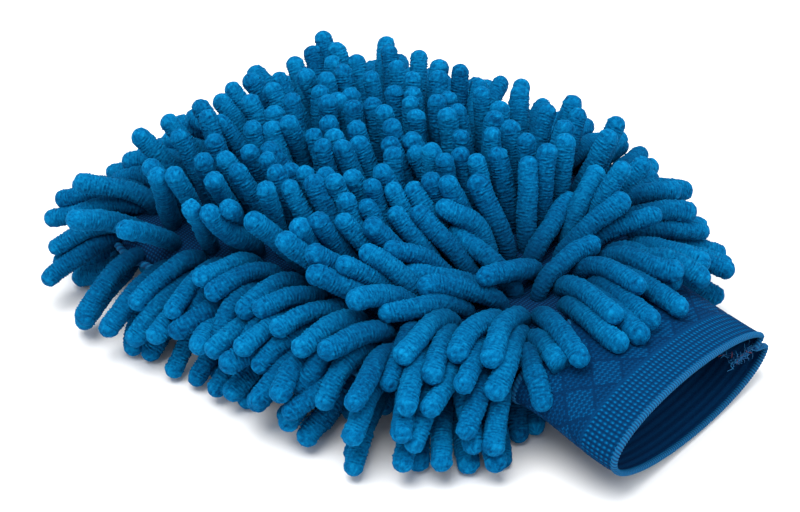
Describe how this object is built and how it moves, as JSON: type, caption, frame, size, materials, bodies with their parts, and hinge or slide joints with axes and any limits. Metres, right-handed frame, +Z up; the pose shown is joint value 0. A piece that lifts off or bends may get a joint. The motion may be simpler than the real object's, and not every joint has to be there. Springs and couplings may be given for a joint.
{
  "type": "wash mitt",
  "caption": "Chenille microfibre wash mitt: a soft pocket for the hand, covered all over in thick pile fingers, with an open knitted elastic cuff.",
  "frame": {"origin": "middle of the mitt's footprint, on the surface that the palm pile rests on", "axes": "+X across the hand, +Y from the cuff's mouth to the fingertips, +Z up out of the back of the hand"},
  "size_m": [0.1936, 0.2428, 0.0635],
  "materials": {
    "chenille_pile": "matt, soft microfibre chenille",
    "ground_fabric": "matt warp-knitted backing",
    "cuff_knit": "matt elastic jacquard knit",
    "seam_thread": "soft sheen polyester thread"
  },
  "bodies": {
    "root": {"back_panel": "ground_fabric", "palm_panel": "ground_fabric", "perimeter_seam": "seam_thread", "cuff_band": "cuff_knit", "cuff_selvedge": "seam_thread", "cuff_attaching_seam": "seam_thread", "cuff_join_seam": "cuff_knit", "cuff_join_fray": "chenille_pile", "back_pile_row_01": "chenille_pile", "back_pile_row_02": "chenille_pile", "back_pile_row_03": "chenille_pile", "back_pile_row_04": "chenille_pile", "back_pile_row_05": "chenille_pile", "back_pile_row_06": "chenille_pile", "back_pile_row_07": "chenille_pile", "back_pile_row_08": "chenille_pile", "back_pile_row_09": "chenille_pile", "back_pile_row_10": "chenille_pile", "back_pile_row_11": "chenille_pile", "back_pile_row_12": "chenille_pile", "back_pile_row_13": "chenille_pile", "back_pile_row_14": "chenille_pile", "back_pile_row_15": "chenille_pile", "palm_pile_row_01": "chenille_pile", "palm_pile_row_02": "chenille_pile", "palm_pile_row_03": "chenille_pile", "palm_pile_row_04": "chenille_pile", "palm_pile_row_05": "chenille_pile", "palm_pile_row_06": "chenille_pile", "palm_pile_row_07": "chenille_pile", "palm_pile_row_08": "chenille_pile", "palm_pile_row_09": "chenille_pile", "palm_pile_row_10": "chenille_pile", "palm_pile_row_11": "chenille_pile", "palm_pile_row_12": "chenille_pile", "palm_pile_row_13": "chenille_pile", "palm_pile_row_14": "chenille_pile", "palm_pile_row_15": "chenille_pile", "upper_edge_pile_left_heel": "chenille_pile", "upper_edge_pile_left_side": "chenille_pile", "upper_edge_pile_left_corner": "chenille_pile", "upper_edge_pile_right_heel": "chenille_pile", "upper_edge_pile_right_side": "chenille_pile", "upper_edge_pile_right_corner": "chenille_pile", "upper_edge_pile_fingertips": "chenille_pile", "middle_edge_pile_left_heel": "chenille_pile", "middle_edge_pile_left_side": "chenille_pile", "middle_edge_pile_left_corner": "chenille_pile", "middle_edge_pile_right_heel": "chenille_pile", "middle_edge_pile_right_side": "chenille_pile", "middle_edge_pile_right_corner": "chenille_pile", "middle_edge_pile_fingertips": "chenille_pile", "lower_edge_pile_left_heel": "chenille_pile", "lower_edge_pile_left_side": "chenille_pile", "lower_edge_pile_left_corner": "chenille_pile", "lower_edge_pile_right_heel": "chenille_pile", "lower_edge_pile_right_side": "chenille_pile", "lower_edge_pile_right_corner": "chenille_pile", "lower_edge_pile_fingertips": "chenille_pile"}
  },
  "joints": []
}
